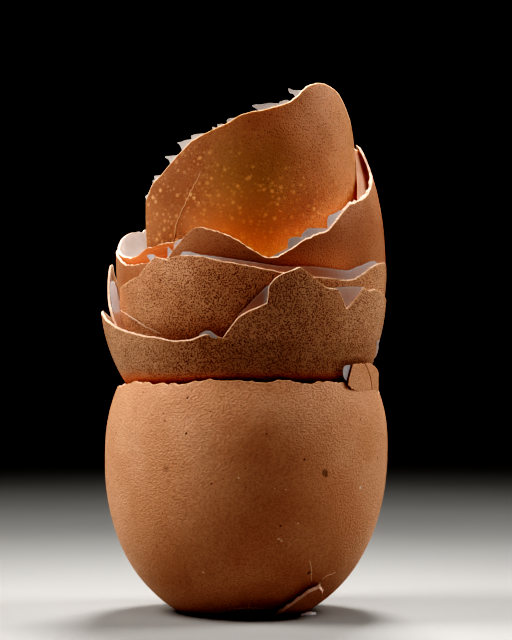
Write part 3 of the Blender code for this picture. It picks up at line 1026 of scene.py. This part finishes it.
def brown(name, light, dark, peel=0.03, dots=None, pores=(), lifts=(), through=0.3, reach=0.7):
    """The outside of a shell. dots are (ink, cells to a millimetre, size in cells, strength)."""
    finish = Finish(name)
    place = finish.place()
    step, mix, grain, cells, bump = finish.step, finish.mix, finish.grain, finish.cells, finish.bump
    colour = mix(step(grain(place, 0.11, 3), 0.35, 0.65), light, dark)
    skewed = finish.squashed(place, (1, 1, 1.3), SKEW)
    wrinkles = grain(skewed, 2.9, 3, 0.6)
    fine = grain(skewed, 6.5, 1, 0.5)
    relief = bump(fine, peel * 0.8, bump(wrinkles, peel * 5.2))
    # painted shade: the surface darker where the relief dips
    dip_shade = step(wrinkles + 0.6 * (fine - 0.5), 0.36, 0.6, peel * 4, 0)
    colour = mix(dip_shade, colour, HOLLOW_SHADE)
    if dots:
        ink, scale, size, strength = dots
        ragged = cells(place, scale, 0.9) + 0.08 * (grain(place, scale * 1.6, 1) - 0.5)
        drift = size + 0.2 * (grain(place, 0.3, 3) - 0.5)
        pits = step(ragged - drift, -0.07, 0.07, 1, 0)
        colour = mix(pits * strength, colour, ink)
        relief = bump(1 - pits, 0.025, relief)
    for ink, scale, size in pores:
        pinprick = step(cells(place, scale), size * 0.5, size, 1, 0)
        colour = mix(pinprick * 0.85, colour, ink)
    for lift in lifts:
        colour = lift(finish, place, colour)
    rim = step(finish.painted("below_rim"), 0.0, 0.16, 0.95, 0) * finish.painted("bright_rim")
    rough = step(wrinkles, 0.3, 0.7, 0.6, 0.5)
    finish.coat(mix(rim, colour, RIM_LIGHT), rough, relief, through, reach, (1.0, 0.95, 0.8))
    finish.feed(finish.shader, {"Specular IOR Level": 0.3})
    return finish


print("relief turned by", [round(math.degrees(turn)) for turn in SKEW], "degrees")

# %% [markdown]
# ## Where light comes through
# Light from behind colours a shell by place. Subsurface alone carries too little of it, so a
# lighter tone is painted on where the shell glows, as painted light. On the shard that is a wide
# glow over the notch, redder and brighter near the rim in front of it, with soft thin spots that
# crowd low down. Its left side is painted darker, as painted shade, and its middle is olive.


# %% The shard's glow
def glow_spots(finish, place, colour):
    """Painted light that comes through the shard from behind: a wide glow and soft thin spots, with painted
    shade at its left.
    """
    step, mix, cells = finish.step, finish.mix, finish.cells
    x, _, z = finish.axes(place)
    low = step(z + 0.25 * x, 62, 79, 1, 0)
    crowd = step(finish.grain(place, 0.25, 2), 0.35, 0.6, 0.2, 1)
    thin = step(cells(place, 0.8), 0.1, 0.36, 0.9, 0)
    faint = step(cells(place, 1.4), 0.1, 0.4, 0.5, 0)
    over_rim = z - 0.52 * abs(x - 4) - 0.14 * (x - 4)
    # painted shade: the shard's left side darker
    colour = mix(step(x, -13, 4, 0.62, 0), colour, tone(152, 100, 70))
    olive = step(x, -8, -1, 0, 1) * step(x, 3, 11, 1, 0) * step(z, 66, 79, 0.42, 0)
    colour = mix(olive, colour, tone(194, 172, 112))
    middle = step(x, -12, -1, 0.0, 1) * step(x, 5, 11, 1, 0.45)
    colour = mix(step(over_rim, 55, 70, 0.5, 0) * middle, colour, tone(250, 188, 142))
    near = step(over_rim, 54.5, 60, 0.95, 0) * middle.most(0.12)
    colour = mix(near, colour, tone(252, 192, 146))
    shown = low * crowd * step(x, -17, -8, 0.45, 0.8)
    return mix(thin.most(faint) * shown, colour, tone(250, 206, 156))


print(glow_spots.__doc__)

# %% [markdown]
# Three other places glow: the sixth shell at its left, the fifth at its lower right, and the
# second at its foot, where light from the cup below comes through it. Each is one tone, and the
# limits that it fades out at, so one function makes all three.


# %% Smaller glows
X, Z = 0, 2  # their places among a point's axes


def glow(ink, *limits):
    """A tone laid on where every limit lets it: each an axis, and the soft step along it."""
    def lift(finish, place, colour):
        axes = finish.axes(place)
        first, *others = [finish.step(axes[axis], *soft) for axis, *soft in limits]
        return finish.mix(math.prod(others, start=first), colour, ink)

    return lift


left_glow = glow(tone(226, 136, 90), (X, -10, -6, 0.85, 0))
right_glow = glow(tone(246, 160, 110), (Z, 53, 59, 0.45, 0), (X, 0, 8, 0, 1), (X, 14, 19, 1, 0))
low_glow = glow(tone(232, 130, 80), (Z, 36.0, 38.6, 0.8, 0))
print("smaller glows on the sixth, fifth and second shells")

# %% [markdown]
# ## Marks
# A few single marks are large enough to know an egg by: dark pores, a grey-green stain and a
# pale fleck. Noise would put them anywhere, so each is a soft dot round a point of the egg.


# %% Marks
INK, PORE = tone(104, 58, 36), tone(70, 36, 18)
STAIN, FLECK = tone(96, 84, 58), tone(226, 206, 190)
MARKS = [
    (-24.1, 28.9, 0.22, 1), (-35.6, 31.8, 0.2, 0.6), (-34.5, 30.7, 0.25, 0.5), (7.9, 28.9, 0.25, 0.5),
    (23.3, 25.0, 0.2, 0.9), (14.8, 15.0, 0.2, 0.9), (-65.5, 28.5, 0.2, 0.7), (-67.4, 27.4, 0.2, 0.6),
    (34, 7.4, 0.4, 0.6), (65.7, 24.6, 0.3, 0.5), (-13.2, 21.4, 0.18, 0.8), (-32.7, 23.5, 0.8, 0.25),
    (32.6, 22.9, 0.75, 0.6, STAIN), (33.4, 22.4, 0.35, 0.5), (53, 20.3, 0.35, 0.9, FLECK),
    (-57.8, 30.4, 0.18, 0.6), (-25.2, 34.2, 0.28, 0.8), (-50.3, 34.9, 0.18, 0.6), (52.8, 30.7, 0.22, 0.6),
    (34.8, 34.6, 0.16, 0.5),
]


def cup_marks(finish, place, colour):
    """Each mark is a bearing, height, size and strength, and an ink if it is no pore."""
    for bearing, height, size, strength, *ink in MARKS:
        where = tuple(float(c) for c in CUP_EGG.points(bearing, CUP_EGG.angle_at(height)))
        near = finish.step(finish.away(place, where), size * 0.4, size, strength, 0)
        colour = finish.mix(near, colour, ink[0] if ink else PORE)
    return colour


print(len(MARKS), "marks on the lowest shell")

# %% [markdown]
# ## The outsides
# The lowest egg is warm and strongly dimpled, with few pores. The second, third and fourth are
# thickly speckled, as if from one hen. The upper ones are smooth, with larger and fainter dots.
# The two tabs and the chip are bits of the lowest egg.

# %% The outsides
SPECKLE = {"peel": 0.02, "dots": (INK, 4.6, 0.38, 0.95), "through": 0.25}
SMOOTH = {"peel": 0.012, "dots": (tone(134, 84, 56), 2.8, 0.28, 0.55)}
BROWNS = {
    "cup": ((219, 166, 133), (211, 156, 122), {
        "peel": 0.055, "pores": [(PORE, 0.36, 0.05), (tone(128, 80, 50), 0.8, 0.08)], "lifts": (cup_marks,)}),
    "second": ((206, 161, 130), (194, 147, 116), {**SPECKLE, "lifts": (low_glow,)}),
    "third": ((216, 170, 139), (204, 156, 125), SPECKLE),
    "fourth": ((216, 165, 132), (204, 151, 118), {"peel": 0.02, "dots": (INK, 4.6, 0.37, 0.95)}),
    "fifth": ((186, 134, 104), (174, 120, 90), {**SMOOTH, "lifts": (right_glow,)}),
    "sixth": ((196, 136, 100), (182, 120, 84), {**SMOOTH, "lifts": (left_glow,)}),
    "shard": ((192, 144, 112), (178, 129, 95), {
        "peel": 0.012, "dots": (tone(118, 68, 40), 2.6, 0.25, 0.65), "lifts": (glow_spots,),
        "through": 0.7, "reach": 0.8}),
}
browns = {name: brown(f"{name}_brown", tone(*light), tone(*dark), **rest)
          for name, (light, dark, rest) in BROWNS.items()}
outsides = {f"{name}_shell": browns[name] for name in ("second", "third", "fourth", "fifth", "sixth")}
outsides["top_shard"] = browns["shard"]
for part in ("bottom_cup", "rim_tab_left", "rim_tab_right", "foot_chip"):
    outsides[part] = browns["cup"]
print(len(browns), "browns for", len(outsides), "outsides")

# %% [markdown]
# ## The insides
# The inside of a shell is white to pink, with the creased skin on it: noise drawn out
# lengthwise. Little light reaches the deep ones, so the linings of the sixth and the shard are
# painted darker, as painted shade, and that of the fifth darker and warmer. Much reaches the
# third's tip, so its lining is painted paler, as painted light. Each has a pair of tones of its
# own.


# %% The insides
def inner_skin(name, light, dark):
    finish = Finish(name)
    place = finish.place()
    creases = finish.grain(finish.squashed(place, (1, 1, 0.4)), 2.2, 3, 0.6, 0.4)
    colour = finish.mix(finish.step(finish.grain(place, 0.3, 3), 0.35, 0.65), light, dark)
    rough = finish.step(creases, 0.3, 0.7, 0.45, 0.6)
    finish.coat(colour, rough, finish.bump(creases, 0.03), 0.5, 0.5, (1.0, 0.8, 0.65))
    return finish


lining = inner_skin("lining", tone(224, 210, 202), tone(217, 202, 193))
shaded_lining = inner_skin("shaded_lining", tone(196, 184, 178), tone(184, 170, 162))
linings = {
    # painted light: the third's lining paler at its tip
    "third_shell": inner_skin("lit_lining", tone(252, 240, 234), tone(244, 228, 220)),
    # painted shade: the fifth's lining darker and warmer
    "fifth_shell": inner_skin("shaded_warm_lining", tone(226, 190, 168), tone(216, 176, 152)),
    "sixth_shell": shaded_lining,
    "top_shard": shaded_lining,
}
print("linings of their own:", ", ".join(linings))

# %% [markdown]
# ## The broken edge
# The break is crystals of lime, a row of fine pale grains, so its noise is fine and its relief
# deep. The tabs' breaks lie in shadow and are painted nearly brown, as painted shade. The chip's
# break lies under the cup's bulge and is painted paler than the other breaks: partly pale lime,
# partly painted light. The flake shows its white inside.


# %% The broken edge
def lime_edge(name, dark, light):
    finish = Finish(name)
    crystals = finish.grain(finish.place(), 5, 2, 0.6)
    colour = finish.mix(finish.step(crystals, 0.35, 0.65), dark, light)
    rough = finish.step(crystals, 0.3, 0.7, 0.7, 0.9)
    finish.coat(colour, rough, finish.bump(crystals, 0.06), 0.4, 0.5)
    return finish


broken_edge = lime_edge("broken_edge", tone(222, 166, 134), tone(246, 214, 194))
shaded_edge = lime_edge("shaded_edge", tone(110, 62, 38), tone(138, 84, 54))
outsides["foot_flake"] = lime_edge("flake_lime", tone(240, 232, 232), tone(252, 248, 248))
edges_of = {
    # painted shade: the tabs' breaks nearly brown
    "rim_tab_left": shaded_edge,
    "rim_tab_right": shaded_edge,
    # pale lime and painted light: the chip's break paler than the other breaks
    "foot_chip": lime_edge("painted_light_chip_edge", tone(248, 194, 172), tone(255, 216, 198)),
}
print("edges of their own:", ", ".join(edges_of))

# %% [markdown]
# ## The torn skin
# Torn skin is thin and grey-lilac: brown from what lies behind where it clings, and white where
# it is thick. Its veil, its upper border and a cloudy noise together say how white. High on the
# shard the light is strong, so the skin is painted darker there, as painted shade. Some of the
# light passes right through, which a share of a Translucent shader gives.

# %% The torn skin
torn = Finish("torn_skin")
place = torn.place()
x, _, z = torn.axes(place)
fibres = torn.grain(torn.squashed(place, (0.5, 1, 1)), 3.4, 3, 0.6, 0.6)
border = torn.step(torn.painted("below_rim"), 0.05, 0.3, 0.35, 0)
cloudy = torn.step(torn.painted("veil") + border + 0.3 * (torn.grain(place, 0.9, 2) - 0.5), 0.05, 1.15)
white = torn.mix(fibres, tone(172, 168, 170), tone(220, 217, 219))
# painted shade: the skin darker high on the shard, where the light is strong
shade_high_on_shard = torn.step(z, 63, 66, 0, 1) * torn.step(x, -17, 6, 0.85, 0.5)
white = torn.mix(shade_high_on_shard, white, torn.mix(fibres, tone(112, 114, 110), tone(140, 142, 136)))
colour = torn.mix(cloudy, tone(202, 148, 122), white)
rough = torn.step(fibres, 0.3, 0.7, 0.4, 0.55)
torn.coat(colour, rough, torn.bump(fibres, 0.04), 0.3, 0.3, (1.0, 0.7, 0.6))
THROUGH = 0.3
film = torn.node("ShaderNodeBsdfTranslucent", {}, {"Color": tone(206, 200, 194)}).outputs[0]
both = torn.node("ShaderNodeMixShader", {}, {0: THROUGH, 1: torn.shader.outputs[0], 2: film})
torn.feed(torn.tree.nodes["Material Output"], {"Surface": both.outputs[0]})
print("torn skin:", len(torn.tree.nodes), "nodes")

# %% [markdown]
# ## Cracks and grains
# The shard's crack is lit from behind and glows orange, a painted glow. The other cracks and
# the grains are pale lime; on the cracks the pale tone is also painted light that comes through.

# %% Cracks and grains
glowing = Finish("glowing_crack")
uneven = glowing.grain(glowing.place(), 2.5, 2)
glowing.coat(glowing.mix(uneven, tone(250, 196, 150), tone(255, 222, 186)), 0.6)
# pale lime, and on the cracks also painted light coming through them
lime_and_crack_light = Finish("lime_and_crack_glow")
place = lime_and_crack_light.place()
colour = lime_and_crack_light.mix(lime_and_crack_light.grain(place, 4, 2), tone(236, 190, 160), tone(255, 236, 220))
lime_and_crack_light.coat(colour, lime_and_crack_light.step(lime_and_crack_light.grain(place, 6, 2), 0.3, 0.7, 0.5, 0.8))
trim_finishes = {"glowing_cracks": glowing, "fine_cracks": lime_and_crack_light, "grit": lime_and_crack_light}
print("a finish for each of", ", ".join(trims))

# %% [markdown]
# ## Dressing the pieces
# A shell's three material slots are its outside, its inside and its break, in that order. A
# flap of skin is one finish all over. A film so thin throws almost no shadow, so it casts none.

# %% Dressing the pieces
for name, piece in pieces.items():
    for finish in (outsides[name], linings.get(name, lining), edges_of.get(name, broken_edge)):
        piece.data.materials.append(finish.material)
for piece in skins.values():
    piece.visible_shadow = False
    piece.data.materials.append(torn.material)
    for face in piece.data.polygons:
        face.material_index = 0
for name, piece in trims.items():
    piece.data.materials.append(trim_finishes[name].material)
print(len(pieces), "shells,", len(skins), "skins and", len(trims), "trims dressed")

# %% [markdown]
# ## The end
